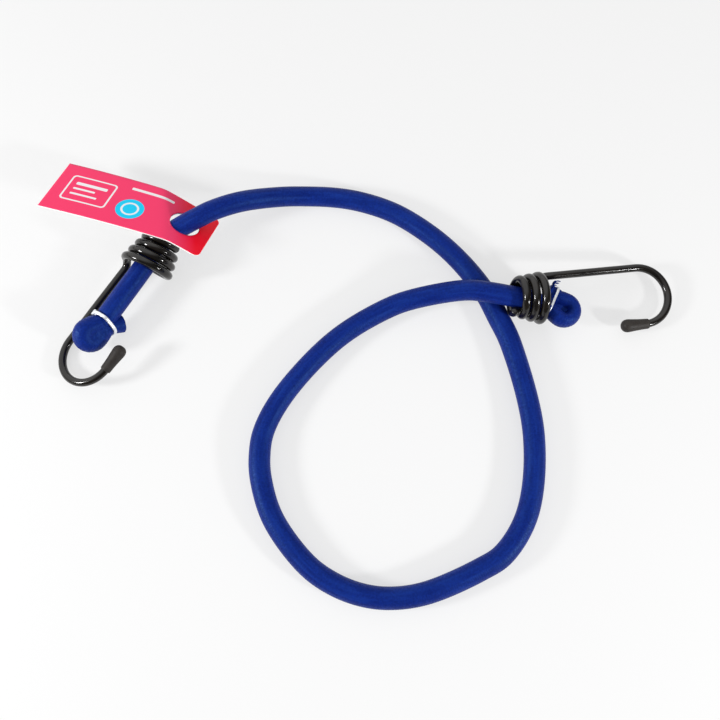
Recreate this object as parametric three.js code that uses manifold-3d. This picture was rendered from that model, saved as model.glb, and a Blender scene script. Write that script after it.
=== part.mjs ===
// A bungee cord: a fabric-covered elastic cord with a wire hook at each end and a card hang tag.
// It lies on a table in one open loop. Units are millimetres, +Z is up, and the origin is on the
// table below the middle of the hooks and tag. +X runs from the tagged hook to the other one.

import * as THREE from "three";
import { mergeVertices } from "three/addons/utils/BufferGeometryUtils.js";
import Module from "manifold-3d";

const wasm = await Module();
wasm.setup();

// Fit between neighbours, and how far a cut runs past what it cuts.
const clearance = 0.3;
const overrun = 5;

// Cord: a woven cover round a bundle of rubber strands.
const cordDiameter = 8;
const coverWall = 0.7;
const cordSides = 12;
const coreSides = 8;
const cordSteps = 80;
const cordRadius = cordDiameter / 2;
const cordRest = cordRadius * Math.cos(Math.PI / cordSides);

// The cord's route from the left folded end to the right one, each point as x, y and the
// height of its centre line above where it lies on the table.
const cordRoute = [
  [-93.6, -12.1, 6.3],
  [-88.4, -3.9, 6.7],
  [-78.4, 11.7, 7.56],
  [-74.2, 15.7, 8.6],
  [-69.5, 18.3, 9.8],
  [-63.6, 21.0, 11.2],
  [-58.5, 23.6, 11.6],
  [-47.8, 28.4, 9.9],
  [-32.7, 33.9, 3.9],
  [-21.9, 35.8, 0.9],
  [-9.9, 35.7, 0],
  [2.1, 33.4, 0],
  [15.8, 28.0, 0],
  [30.9, 17.3, 0],
  [42.0, 5.9, 0],
  [50.9, -7.0, 0],
  [55.5, -17.2, 0],
  [60.1, -28.8, 0],
  [66.7, -64.6, 0],
  [62.7, -93.9, 0],
  [53.2, -108.9, 0],
  [44.3, -114.5, 0],
  [24.0, -122.8, 0],
  [10.9, -124.5, 0],
  [0.3, -123.1, 0],
  [-10.2, -118.9, 0],
  [-19.3, -112.3, 0],
  [-31.4, -96.6, 0],
  [-36.3, -82.6, 0],
  [-37.3, -73.3, 0],
  [-36.0, -63.4, 0],
  [-28.5, -48.8, 0],
  [-8.6, -26.6, 0],
  [11.1, -14.2, 0.8],
  [22.1, -10.7, 2.7],
  [42.5, -9.0, 7.8],
  [51.1, -10.4, 9.0],
  [60.4, -12.0, 8.54],
  [65.6, -12.9, 7.9],
  [69.7, -14.2, 7.1],
];

// Hook: one length of wire, wound into a cone of turns that grips the cord, then run out as a
// straight shank and bent back in a half round.
const wireDiameter = 3.1;
const coilGrip = 0.67;
const coilTurns = 3.555;
const coilPitch = 3.58;
const coilFlare = 3.02;
const coilSteps = 24;
const shankLength = 35;
const shankSplay = 7.8;
const neckLength = 4;
const bendRadius = 11.6;
const bendAngle = 180;
const bendSteps = 16;
const tipLength = 7.3;
const wireSides = 8;
const wireStep = 2.1;
const wireRadius = wireDiameter / 2;
const coilNarrowRadius = cordRadius + coilGrip + wireRadius;
const coilWideRadius = coilNarrowRadius + coilFlare;
const coilLength = coilPitch * coilTurns;

// Soft dipped cap on the tip of each hook, which swells from its mouth to its closed end.
const capMouthDiameter = 4.5;
const capDiameter = 5.2;
const capEdgeRadius = 2.1;
const capLength = 11.3;
const capCover = 8;

// Folded cord end: the cord doubled back on itself and squeezed into a clip, so that it can't
// slip through the coil.
const foldSqueezeShare = 0.8;
const foldLegGap = 0.2;
const foldFlat = cordRadius * foldSqueezeShare;
const foldPitch = 2 * foldFlat + foldLegGap;

// Clip: a flat strip closed round both legs of the fold.
const clipThickness = 0.9;
const clipWidth = 1.5;
const clipEase = 0.45;
const clipGap = 1.2;

// How each end lies: the route's point in the coil's narrow end, the way the coil's axis points
// across the table, and the roll of the hook. After its lead the folded end turns by yaw and
// roll, and its other lengths run along its first leg from there. These four lengths are in
// cord diameters, and all turns are in degrees.
const ends = {
  left: {
    pointIndex: 2,
    azimuth: 241.5,
    roll: -162.8,
    fold: { lead: 0.85, turnAt: 1.12, tailAt: 0.15, clipAt: 0.5, yaw: -14, roll: -44 },
  },
  right: {
    pointIndex: -3,
    azimuth: 0.8,
    roll: 6,
    fold: { lead: 0.4, turnAt: 0.87, tailAt: 0.2, clipAt: 0.64, yaw: -13, roll: 0 },
  },
};

// Hang tag: a printed card that curls a little and is creased where the cord pushes through its
// hole. It hangs on one of the route's points. Its turns about x, y and z are its plain end's.
const tagPointIndex = 4;
const tagLength = 66.8;
const tagHeight = 26.7;
const tagThickness = 0.5;
const tagCorner = 2.5;
const tagHoleRadius = 6.1;
const tagHoleFromEnd = 11.1;
const tagCurlRadius = 430;
const tagBendSkew = 24;
const tagCreaseFromHole = 7.5;
const tagCreaseTurn = 18.3;
const tagCreaseRadius = 12;
const tagTurns = [-19.9, 4.2, -14.7];

const radians = THREE.MathUtils.degToRad;

const finishes = {
  cover: new THREE.MeshStandardMaterial({ color: 0x182c7a, roughness: 0.75, metalness: 0 }),
  rubber: new THREE.MeshStandardMaterial({ color: 0xcfc7b0, roughness: 0.8, metalness: 0 }),
  wire: new THREE.MeshStandardMaterial({ color: 0x17171a, roughness: 0.28, metalness: 0.1 }),
  cap: new THREE.MeshStandardMaterial({ color: 0x302b2a, roughness: 0.6, metalness: 0 }),
  clip: new THREE.MeshStandardMaterial({ color: 0xeeeef0, roughness: 0.4, metalness: 0.1 }),
  card: new THREE.MeshStandardMaterial({ color: 0xeb456f, roughness: 0.5, metalness: 0 }),
};

function piece(name, geometry, finish) {
  const mesh = new THREE.Mesh(geometry, finish);
  mesh.name = name;
  return mesh;
}

// A closed mesh as a solid that can be cut, and back again.
function solidOf(geometry) {
  const bare = geometry.clone();
  bare.deleteAttribute("normal");
  bare.deleteAttribute("uv");
  const merged = mergeVertices(bare, 1e-4);
  return new wasm.Manifold(
    new wasm.Mesh({
      numProp: 3,
      vertProperties: merged.attributes.position.array,
      triVerts: new Uint32Array(merged.index.array),
    }),
  );
}

function geometryOf(solid) {
  const made = solid.getMesh();
  const geometry = new THREE.BufferGeometry();
  geometry.setAttribute("position", new THREE.BufferAttribute(made.vertProperties, 3));
  geometry.setIndex(new THREE.BufferAttribute(made.triVerts, 1));
  return geometry;
}

// An outline with a flat side square to the section's own x, so that a lying cord rests on it.
function ovalOutline(radiusX, radiusY, sides) {
  const points = [];
  for (let i = 0; i < sides; i++) {
    const angle = ((i + 0.5) * 2 * Math.PI) / sides;
    points.push(new THREE.Vector2(radiusX * Math.cos(angle), radiusY * Math.sin(angle)));
  }
  return points;
}

function sweep(outline, curve, steps) {
  return new THREE.ExtrudeGeometry(outline, { steps, bevelEnabled: false, extrudePath: curve });
}

function smoothCurve(points) {
  return new THREE.CatmullRomCurve3(points, false, "centripetal");
}

// The route as a curve that never dips below where the cord lies. Its frames stay level, so
// that one flat side of the section always faces the table.
class LyingCurve extends THREE.CatmullRomCurve3 {
  getPoint(t, target) {
    const point = super.getPoint(t, target);
    point.z = Math.max(point.z, cordRest);
    return point;
  }

  computeFrenetFrames(segments) {
    const frames = { tangents: [], normals: [], binormals: [] };
    for (let i = 0; i <= segments; i++) {
      const tangent = this.getTangentAt(i / segments);
      const across = new THREE.Vector3(-tangent.y, tangent.x, 0).normalize();
      frames.tangents.push(tangent);
      frames.normals.push(new THREE.Vector3().crossVectors(across, tangent));
      frames.binormals.push(across);
    }
    return frames;
  }
}

const routePoints = cordRoute.map(([x, y, lift]) => new THREE.Vector3(x, y, cordRest + lift));
const cordCurve = new LyingCurve(routePoints, false, "centripetal");

function makeCord() {
  const coverOutline = new THREE.Shape(ovalOutline(cordRadius, cordRadius, cordSides));
  const bore = cordRadius - coverWall;
  coverOutline.holes.push(new THREE.Path(ovalOutline(bore, bore, cordSides)));
  const coreRadius = bore * Math.cos(Math.PI / cordSides) - clearance;
  const coreOutline = new THREE.Shape(ovalOutline(coreRadius, coreRadius, coreSides));
  return [
    piece("cord_cover", sweep(coverOutline, cordCurve, cordSteps), finishes.cover),
    piece("cord_core", sweep(coreOutline, cordCurve, cordSteps), finishes.rubber),
  ];
}

// Centre line of the hook wire. The coil's axis is x, from the narrow end to the wide one, and
// the hook lies in the plane of x and y.
function coilPoint(turn) {
  const angle = 2 * Math.PI * (turn - coilTurns);
  const radius = THREE.MathUtils.lerp(coilNarrowRadius, coilWideRadius, turn / coilTurns);
  return new THREE.Vector3(coilPitch * turn, radius * Math.cos(angle), radius * Math.sin(angle));
}

function coilGapToItself() {
  let least = Infinity;
  for (let turn = 1; turn <= coilTurns; turn += 1 / coilSteps) {
    for (let share = 3 / 4; share <= 5 / 4; share += 1 / coilSteps) {
      const other = Math.max(turn - share, 0);
      least = Math.min(least, coilPoint(turn).distanceTo(coilPoint(other)) - wireDiameter);
    }
  }
  return least;
}

console.log("least gap between the coil's turns: " + coilGapToItself().toFixed(2) + " mm");

const splay = radians(shankSplay);
const shankWay = new THREE.Vector3(Math.cos(splay), Math.sin(splay), 0);
const inward = new THREE.Vector3(Math.sin(splay), -Math.cos(splay), 0);

// The neck's handles are this share of its length, which turns it evenly.
const neckHandleShare = 0.6;

function wirePoints() {
  const points = [];
  const lastTurn = coilTurns - neckLength / (2 * Math.PI * coilWideRadius);
  const count = Math.round(lastTurn * coilSteps);
  for (let i = 0; i <= count; i++) points.push(coilPoint((lastTurn * i) / count));

  // The neck turns the wire from round the cord to along it.
  const handle = neckLength * neckHandleShare;
  const start = points[points.length - 1];
  const along = coilPoint(lastTurn + 1 / coilSteps).sub(start).normalize();
  const shankStart = new THREE.Vector3(coilLength + neckLength, coilWideRadius, 0);
  const neck = new THREE.CubicBezierCurve3(
    start,
    start.clone().addScaledVector(along, handle),
    shankStart.clone().addScaledVector(shankWay, -handle),
    shankStart,
  );
  for (const share of [1 / 4, 2 / 4, 3 / 4]) points.push(neck.getPoint(share));

  const shankEnd = shankStart.clone().addScaledVector(shankWay, shankLength);
  for (const share of [0, 1 / 4, 2 / 4, 3 / 4]) {
    points.push(shankStart.clone().lerp(shankEnd, share));
  }
  const centre = shankEnd.clone().addScaledVector(inward, bendRadius);
  const turn = radians(bendAngle);
  for (let i = 0; i <= bendSteps; i++) {
    const angle = (turn * i) / bendSteps;
    points.push(
      centre
        .clone()
        .addScaledVector(inward, -bendRadius * Math.cos(angle))
        .addScaledVector(shankWay, bendRadius * Math.sin(angle)),
    );
  }
  const bendEnd = points[points.length - 1];
  const tipWay = shankWay
    .clone()
    .multiplyScalar(Math.cos(turn))
    .addScaledVector(inward, Math.sin(turn));
  const tipEnd = bendEnd.clone().addScaledVector(tipWay, tipLength);
  points.push(bendEnd.clone().lerp(tipEnd, 1 / 2), tipEnd);
  return { points, tipEnd, tipWay };
}

// Cap profile: a blind bore round the wire, and a closed end with a rounded edge.
function capProfile() {
  const bore = wireRadius + clearance;
  const mouth = capMouthDiameter / 2;
  const floor = capCover + clearance;
  const profile = [
    new THREE.Vector2(0, floor),
    new THREE.Vector2(bore, floor),
    new THREE.Vector2(bore, 0),
    new THREE.Vector2(mouth, 0),
  ];
  const edgeAt = capDiameter / 2 - capEdgeRadius;
  const edgeSteps = 5;
  for (let i = 0; i <= edgeSteps; i++) {
    const angle = ((Math.PI / 2) * i) / edgeSteps;
    const rise = capEdgeRadius * (Math.sin(angle) - 1);
    profile.push(new THREE.Vector2(edgeAt + capEdgeRadius * Math.cos(angle), capLength + rise));
  }
  profile.push(new THREE.Vector2(0, capLength));
  return profile;
}

function makeHook(side) {
  const { points, tipEnd, tipWay } = wirePoints();
  const curve = smoothCurve(points);
  const steps = Math.round(curve.getLength() / wireStep);
  const outline = new THREE.Shape(ovalOutline(wireRadius, wireRadius, wireSides));
  const wire = piece(side + "_hook_wire", sweep(outline, curve, steps), finishes.wire);

  const cap = piece(side + "_hook_cap", new THREE.LatheGeometry(capProfile(), 16), finishes.cap);
  const latheAxis = new THREE.Vector3(0, 1, 0);
  cap.quaternion.setFromUnitVectors(latheAxis, tipWay);
  cap.position.copy(tipEnd).addScaledVector(tipWay, -capCover);

  const hook = new THREE.Group();
  hook.add(wire, cap);
  return hook;
}

// How far a hook tips down, held at this height on the cord, until its wire meets the table.
function restingDip(height, roll) {
  const drop = height - wireRadius - clearance;
  let dip = Math.PI / 2;
  for (const point of wirePoints().points) {
    const rise = point.y * Math.sin(roll) + point.z * Math.cos(roll);
    const reach = Math.hypot(point.x, rise);
    if (reach > drop) dip = Math.min(dip, Math.atan2(rise, point.x) + Math.asin(drop / reach));
  }
  return dip;
}

// Centre line of a folded end in the frame of its two legs: the first leg lies on x, the second
// one comes back a pitch away on the side of y, and the cord arrives at the origin along way.
function foldPoints(form, way) {
  const [lead, turnAt, tailAt] = [form.lead, form.turnAt, form.tailAt].map(
    (share) => share * cordDiameter,
  );
  const points = [
    way.clone().multiplyScalar(-lead),
    way.clone().multiplyScalar(-lead / 2),
    new THREE.Vector3(lead / 4, 0, 0),
  ];
  const halfPitch = foldPitch / 2;
  const turnSteps = 8;
  for (let i = 0; i <= turnSteps; i++) {
    const angle = (Math.PI * i) / turnSteps;
    const x = turnAt + halfPitch * Math.sin(angle);
    points.push(new THREE.Vector3(x, halfPitch - halfPitch * Math.cos(angle), 0));
  }
  points.push(new THREE.Vector3((turnAt + tailAt) / 2, foldPitch, 0));
  points.push(new THREE.Vector3(tailAt, foldPitch, 0));
  return points;
}

// The clip follows the outline of both legs and stops short of closing on itself.
function clipPoints() {
  const reach = clipEase + clipThickness / 2;
  const roundY = foldFlat + reach;
  const roundZ = cordRadius + reach;
  const points = [new THREE.Vector3(0, clipGap, -roundZ)];
  const roundSteps = 8;
  for (const [side, from] of [[1, -Math.PI / 2], [-1, Math.PI / 2]]) {
    for (let i = 0; i <= roundSteps; i++) {
      const angle = from + (Math.PI * i) / roundSteps;
      const y = (side * foldPitch) / 2 + roundY * Math.cos(angle);
      points.push(new THREE.Vector3(0, y, roundZ * Math.sin(angle)));
    }
  }
  points.push(new THREE.Vector3(0, -clipGap, -roundZ));
  return points;
}

// A folded end whose own x carries on along the cord.
function makeFold(side, form) {
  const legs = new THREE.Group();
  legs.rotation.set(radians(form.roll), 0, radians(form.yaw), "ZYX");
  legs.position.setX(form.lead * cordDiameter);
  const way = new THREE.Vector3(1, 0, 0).applyQuaternion(legs.quaternion.clone().invert());

  const curve = smoothCurve(foldPoints(form, way));
  const outline = new THREE.Shape(ovalOutline(cordRadius, foldFlat, cordSides));
  const steps = Math.round(curve.getLength() / foldFlat) * 2;
  const end = piece(side + "_folded_end", sweep(outline, curve, steps), finishes.cover);

  const strip = new THREE.Shape([
    new THREE.Vector2(-clipWidth / 2, -clipThickness / 2),
    new THREE.Vector2(clipWidth / 2, -clipThickness / 2),
    new THREE.Vector2(clipWidth / 2, clipThickness / 2),
    new THREE.Vector2(-clipWidth / 2, clipThickness / 2),
  ]);
  const clipCurve = smoothCurve(clipPoints());
  const clip = piece(side + "_end_clip", sweep(strip, clipCurve, 40), finishes.clip);
  clip.position.set(form.clipAt * cordDiameter, foldPitch / 2, 0);

  legs.add(end, clip);
  const fold = new THREE.Group();
  fold.add(legs);
  return fold;
}

// The card bends across a skewed way. These run along that way from the plain end's top corner.
const skew = radians(tagBendSkew);
const holeAlong =
  (tagLength - tagHoleFromEnd) * Math.cos(skew) - (tagHeight / 2) * Math.sin(skew);
const creaseLength = tagCreaseRadius * radians(tagCreaseTurn);
const creaseStart = holeAlong - tagCreaseFromHole - creaseLength / 2;

// Side view of the bent card: where it is this far along, and how much it has turned down.
function bendAt(distance) {
  const bent = { x: 0, z: 0, turn: 0 };
  const runs = [
    [creaseStart, tagCurlRadius],
    [creaseLength, tagCreaseRadius],
    [tagLength, tagCurlRadius],
  ];
  let left = distance;
  for (const [length, radius] of runs) {
    const run = Math.min(left, length);
    const turn = bent.turn + run / radius;
    bent.x += radius * (Math.sin(turn) - Math.sin(bent.turn));
    bent.z += radius * (Math.cos(turn) - Math.cos(bent.turn));
    bent.turn = turn;
    left -= run;
  }
  return bent;
}

// Hang tag in the frame of its plain end: x along the card, z out of the printed face, and the
// origin at the middle of the hole.
function makeTag() {
  const hole = bendAt(holeAlong);
  const stations = [-tagHeight, 0];
  const parts = 4;
  for (let i = 1; i <= parts; i++) stations.push((creaseStart * i) / parts);
  for (let i = 1; i <= parts; i++) stations.push(creaseStart + (creaseLength * i) / parts);
  stations.push(holeAlong, tagLength);
  const face = (offset) =>
    stations.map((distance) => {
      const { x, z, turn } = bendAt(distance);
      const outward = new THREE.Vector2(Math.sin(turn), Math.cos(turn));
      return new THREE.Vector2(x - hole.x, z - hole.z).addScaledVector(outward, offset);
    });
  const profile = new THREE.Shape([...face(-tagThickness / 2), ...face(tagThickness / 2).reverse()]);
  const width = 2 * tagLength;
  const sheet = new THREE.ExtrudeGeometry(profile, { depth: width, bevelEnabled: false });
  sheet.translate(0, 0, -width / 2);
  sheet.rotateX(Math.PI / 2);
  sheet.rotateZ(skew);

  const left = tagHoleFromEnd - tagLength + (holeAlong - hole.x) * Math.cos(skew);
  const right = tagHoleFromEnd * Math.cos(hole.turn);
  const half = tagHeight / 2;
  const outline = new THREE.Shape();
  outline.moveTo(left, -half);
  outline.lineTo(right - tagCorner, -half);
  outline.absarc(right - tagCorner, -half + tagCorner, tagCorner, -Math.PI / 2, 0, false);
  outline.absarc(right - tagCorner, half - tagCorner, tagCorner, 0, Math.PI / 2, false);
  outline.lineTo(left, half);
  const depth = tagHeight + overrun;
  const cut = new THREE.ExtrudeGeometry(outline, { depth, bevelEnabled: false, curveSegments: 6 });
  cut.translate(0, 0, -depth / 2);

  const punch = new THREE.CylinderGeometry(tagHoleRadius, tagHoleRadius, overrun, 24);
  punch.rotateX(Math.PI / 2);
  punch.rotateY(hole.turn);
  punch.rotateZ(skew);
  const card = solidOf(sheet).intersect(solidOf(cut)).subtract(solidOf(punch));
  return piece("hang_tag", geometryOf(card), finishes.card);
}

const bungee = new THREE.Group();
bungee.add(...makeCord());

// Turns about z, then about the group's own y, then about its own x.
function place(group, at, azimuth, dip, roll) {
  group.position.copy(at);
  group.rotation.set(roll, dip, azimuth, "ZYX");
  bungee.add(group);
}

for (const [side, { pointIndex, azimuth, roll, fold }] of Object.entries(ends)) {
  const grip = routePoints.at(pointIndex);
  const dip = restingDip(grip.z, radians(roll));
  place(makeHook(side), grip, radians(azimuth), dip, radians(roll));

  // The fold carries on from the cord's end, square to it.
  const last = pointIndex > 0 ? 0 : 1;
  const way = cordCurve.getTangent(last);
  if (last === 0) way.negate();
  const start = cordCurve.getPoint(last).addScaledVector(way, clearance);
  place(makeFold(side, fold), start, Math.atan2(way.y, way.x), -Math.asin(way.z), 0);
}

const tag = makeTag();
tag.position.copy(routePoints[tagPointIndex]);
tag.rotation.set(...tagTurns.map(radians));
bungee.add(tag);

export default bungee;
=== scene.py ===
# A fabric-covered elastic cord with a wound wire hook at each end and a card hang tag, lying on
# a table. Lengths are in metres, and the mm value below turns a size in millimetres into one.

import math
import random

import bmesh
import bpy
import numpy as np
from mathutils import Euler, Matrix, Vector, noise
from mathutils.kdtree import KDTree


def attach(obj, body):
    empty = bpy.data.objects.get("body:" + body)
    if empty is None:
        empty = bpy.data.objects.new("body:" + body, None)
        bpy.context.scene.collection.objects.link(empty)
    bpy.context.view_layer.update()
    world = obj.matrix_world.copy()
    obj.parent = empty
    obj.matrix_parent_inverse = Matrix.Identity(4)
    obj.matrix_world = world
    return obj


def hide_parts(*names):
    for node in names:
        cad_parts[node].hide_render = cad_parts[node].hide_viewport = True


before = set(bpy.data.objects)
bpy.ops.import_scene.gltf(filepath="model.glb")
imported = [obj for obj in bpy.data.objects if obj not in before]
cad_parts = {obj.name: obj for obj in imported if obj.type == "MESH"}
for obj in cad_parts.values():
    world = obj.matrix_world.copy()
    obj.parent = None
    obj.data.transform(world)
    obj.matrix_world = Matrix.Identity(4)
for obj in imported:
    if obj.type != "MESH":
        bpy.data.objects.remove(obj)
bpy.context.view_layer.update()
mm = 0.001
scene = bpy.context.scene


# Viewpoint
# A camera held close above the table, leaning back a little from straight down. The square
# picture shows the whole cord with some table all round.
look_at = Vector((0.6, -35.3, 4.0)) * mm
camera_distance = 305.3 * mm
camera_elevation = math.radians(73)
camera_lens = 39.0

camera = bpy.data.objects.new("camera", bpy.data.cameras.new("camera"))
scene.collection.objects.link(camera)
camera_back = Vector((0, -math.cos(camera_elevation), math.sin(camera_elevation)))
camera.location = look_at + camera_back * camera_distance
camera.rotation_euler = camera_back.to_track_quat("Z", "Y").to_euler()
camera.data.lens = camera_lens
camera.data.sensor_width = 36
camera.data.clip_start = 10 * mm
scene.camera = camera


# Elastic cord
# A bundle of rubber strands in a tight braided cover. It lies in one open loop, passes over
# itself in a low hump, and is held up by the hooks near both ends.
cord_radius = 4.1 * mm

# Where the cord lies on the table, its middle is this high. The route gives its middle in
# millimetres, with heights above that.
cord_rest = 4.0 * mm * math.cos(math.radians(15))
cord_route = [
    [-93.6, -12.1, 6.3],
    [-88.4, -3.9, 6.7],
    [-78.4, 11.7, 7.56],
    [-74.2, 15.7, 8.6],
    [-69.5, 18.3, 9.8],
    [-63.6, 21, 11.2],
    [-58.5, 23.6, 11.6],
    [-47.8, 28.4, 9.9],
    [-32.7, 33.9, 3.9],
    [-21.9, 35.8, 0.9],
    [-9.9, 35.7, 0],
    [2.1, 33.4, 0],
    [15.8, 28, 0],
    [30.9, 17.3, 0],
    [42, 5.9, 0],
    [50.9, -7, 0],
    [55.5, -17.2, 0],
    [60.1, -28.8, 0],
    [66.7, -64.6, 0],
    [62.7, -93.9, 0],
    [53.2, -108.9, 0],
    [44.3, -114.5, 0],
    [24, -122.8, 0],
    [10.9, -124.5, 0],
    [0.3, -123.1, 0],
    [-10.2, -118.9, 0],
    [-19.3, -112.3, 0],
    [-31.4, -96.6, 0],
    [-36.3, -82.6, 0],
    [-37.3, -73.3, 0],
    [-36, -63.4, 0],
    [-28.5, -48.8, 0],
    [-8.6, -26.6, 0],
    [11.1, -14.2, 0.8],
    [22.1, -10.7, 2.7],
    [42.5, -9, 7.8],
    [51.1, -10.4, 9],
    [60.4, -12, 8.54],
    [65.6, -12.9, 7.9],
    [69.7, -14.2, 7.1],
]

# The cover's yarn lies nearly square to the cord, in columns that zigzag round it.
rib_pitch = 0.8 * mm
rib_height = 0.08 * mm
rib_columns = 24
rib_lean_share = 0.45
line_spacing = rib_pitch / 4

# Past its last route point each end runs straight for a lead, then turns by a yaw and a roll
# into the frame of its fold. There the first leg lies along x and the second one beside it, on
# y. clip, turn and cut are places along x: of the clip, of the loop's middle, and of the cut
# end. pitch is how far apart the legs are, loop is the loop's half width, shift and under move
# the loop and the legs along y, and splay is how far the cut end leans out. The clip's upper
# side leans along x, and the whole clip is skewed. Lengths are in millimetres, turns in degrees.
fold_gap = 0.3 * mm
loop_points = 9
fold_forms = {
    "left": {
        "lead": 7.5,
        "yaw": -4,
        "roll": -50,
        "clip": 3.7,
        "turn": 9.8,
        "cut": -0.9,
        "pitch": 3.6,
        "loop": 2.9,
        "shift": -1.9,
        "under": -0.5,
        "splay": 40,
        "clip_lean": -20,
        "clip_skew": 12,
    },
    "right": {
        "lead": 3.62,
        "yaw": -14,
        "roll": 0,
        "clip": 0.6,
        "turn": 6.6,
        "cut": -2.4,
        "pitch": 5.8,
        "loop": 4.1,
        "shift": 0.0,
        "under": 0.0,
        "splay": 0,
        "clip_lean": 0,
        "clip_skew": -6.5,
    },
}


def distances(line):
    """How far along a line each of its points is."""
    return np.concatenate([[0], np.cumsum(np.linalg.norm(np.diff(line, axis=0), axis=1))])


def evenly(line, spacing):
    """The same line with evenly spaced points."""
    along = distances(line)
    at = np.linspace(0, along[-1], max(2, round(along[-1] / spacing)) + 1)
    return np.stack([np.interp(at, along, line[:, k]) for k in range(3)], axis=1)


def smooth_line(points, spacing):
    """Evenly spaced points along the centripetal curve through some points."""
    steps_between = 64
    points = np.array(points, float)
    chain = np.vstack([2 * points[0] - points[1], points, 2 * points[-1] - points[-2]])
    t = np.linspace(0, 1, steps_between, endpoint=False)[:, None]
    fine = []
    for a, b, c, d in zip(chain, chain[1:], chain[2:], chain[3:]):
        before, here, after = (math.sqrt(np.linalg.norm(step)) for step in (b - a, c - b, d - c))
        leave = (b - a) / before - (c - a) / (before + here) + (c - b) / here
        arrive = (c - b) / here - (d - b) / (here + after) + (d - c) / after
        fine.append(
            b * (2 * t**3 - 3 * t**2 + 1)
            + leave * here * (t**3 - 2 * t**2 + t)
            + c * (3 * t**2 - 2 * t**3)
            + arrive * here * (t**3 - t**2)
        )
    return evenly(np.vstack([*fine, points[-1:]]), spacing)


def level_frames(line):
    """Sideways and up for each point of a line, with sideways kept level."""
    way = np.gradient(line, axis=0)
    across = np.stack([-way[:, 1], way[:, 0], np.zeros(len(way))], axis=1)
    across /= np.linalg.norm(across, axis=1)[:, None]
    up = np.cross(way, across)
    return across, up / np.linalg.norm(up, axis=1)[:, None]


def ring_faces(rings, sides):
    """Faces of a closed form whose points are rings: the quads between them and its two ends."""
    quads = []
    for i in range(rings - 1):
        here, there = i * sides, (i + 1) * sides
        for k in range(sides):
            n = (k + 1) % sides
            quads.append((here + k, here + n, there + n, there + k))
    return quads + [tuple(range(sides))[::-1], tuple(range((rings - 1) * sides, rings * sides))]


def shaped(name, places, faces, smooth=True):
    """A new piece in the scene, from its points and faces."""
    mesh = bpy.data.meshes.new(name)
    mesh.from_pydata(places, [], faces)
    if smooth:
        mesh.shade_smooth()
    made = bpy.data.objects.new(name, mesh)
    scene.collection.objects.link(made)
    return made


def tube(name, line, frames, reach):
    """A closed tube round a line. reach is its radius at each ring and side."""
    rings, sides = reach.shape
    across, up = frames
    angle = 2 * math.pi * np.arange(sides) / sides
    spokes = across[:, None] * np.cos(angle)[:, None] + up[:, None] * np.sin(angle)[:, None]
    places = line[:, None] + spokes * reach[:, :, None]
    return shaped(name, places.reshape(-1, 3), ring_faces(rings, sides))


def rib_relief(turn, along):
    """Height of the cover's ribs, from 0 to 1, at a share of a turn and a distance along."""
    column = np.abs((turn * rib_columns / 2) % 1 - 0.5) * 2
    return 0.5 + 0.5 * np.cos(2 * math.pi * (along / rib_pitch + rib_lean_share * column))


def legs_frame(end, before, form):
    """The frame of a fold's two legs, from the route's end. The first leg lies on its x."""
    way = Vector(end - before).normalized()
    turned = Euler((0, -math.asin(way.z), math.atan2(way.y, way.x)), "XYZ").to_matrix().to_4x4()
    bent = Euler((math.radians(form["roll"]), 0, math.radians(form["yaw"])), "XYZ")
    lead = Matrix.Translation((form["lead"] * mm, 0, 0))
    start = Matrix.Translation(Vector(end) + way * fold_gap)
    return start @ turned @ lead @ bent.to_matrix().to_4x4()


def fold_points(end, before, form, legs):
    """Points of the cord's middle past its route: to the clip, round the loop, to the cut end."""
    halfway = legs.translation + Vector(before - end).normalized() * form["lead"] / 2 * mm
    first, second = form["under"], form["under"] + form["pitch"]
    flat = [(form["lead"] / 4, 0), (form["clip"], first)]
    middle = form["pitch"] / 2 + form["shift"]
    for angle in np.linspace(0, math.pi, loop_points):
        x, y = math.sin(angle), math.cos(angle)
        flat.append((form["turn"] + form["loop"] * x, middle - form["loop"] * y))
    lean = math.tan(math.radians(form["splay"]))
    flat.append((form["clip"], second))
    flat.append((form["cut"], second + (form["clip"] - form["cut"]) * lean))
    return [np.array(halfway)] + [np.array(legs @ Vector((x * mm, y * mm, 0))) for x, y in flat]


def index_of(line, point):
    """The number of a line's point that is nearest to a point."""
    return int(np.argmin(np.linalg.norm(line - point, axis=1)))


route = np.array(cord_route) * mm + [0, 0, cord_rest]
bare_spacing = 0.1 * mm
bare = smooth_line(route, bare_spacing)
legs = {
    "left": legs_frame(bare[0], bare[1], fold_forms["left"]),
    "right": legs_frame(bare[-1], bare[-2], fold_forms["right"]),
}
left_points = fold_points(bare[0], bare[1], fold_forms["left"], legs["left"])
right_points = fold_points(bare[-1], bare[-2], fold_forms["right"], legs["right"])
whole_line = smooth_line([*left_points[::-1], *route, *right_points], line_spacing)

# The free cord lies between the middles of the two clips, and the folds are pieces of their own.
# A fold's third point lies under its clip, and the fold laps over the cord by some points there.
under_clip = 2
clip_lap = 13
left_clip_at = index_of(whole_line, left_points[under_clip])
right_clip_at = index_of(whole_line, right_points[under_clip])
cord_line = whole_line[left_clip_at : right_clip_at + 1].copy()
cord_line[:, 2] = np.maximum(cord_line[:, 2], cord_rest)
fold_lines = {
    "left": whole_line[: left_clip_at + clip_lap][::-1],
    "right": whole_line[right_clip_at - clip_lap + 1 :],
}
cord_along = distances(cord_line)

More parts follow.
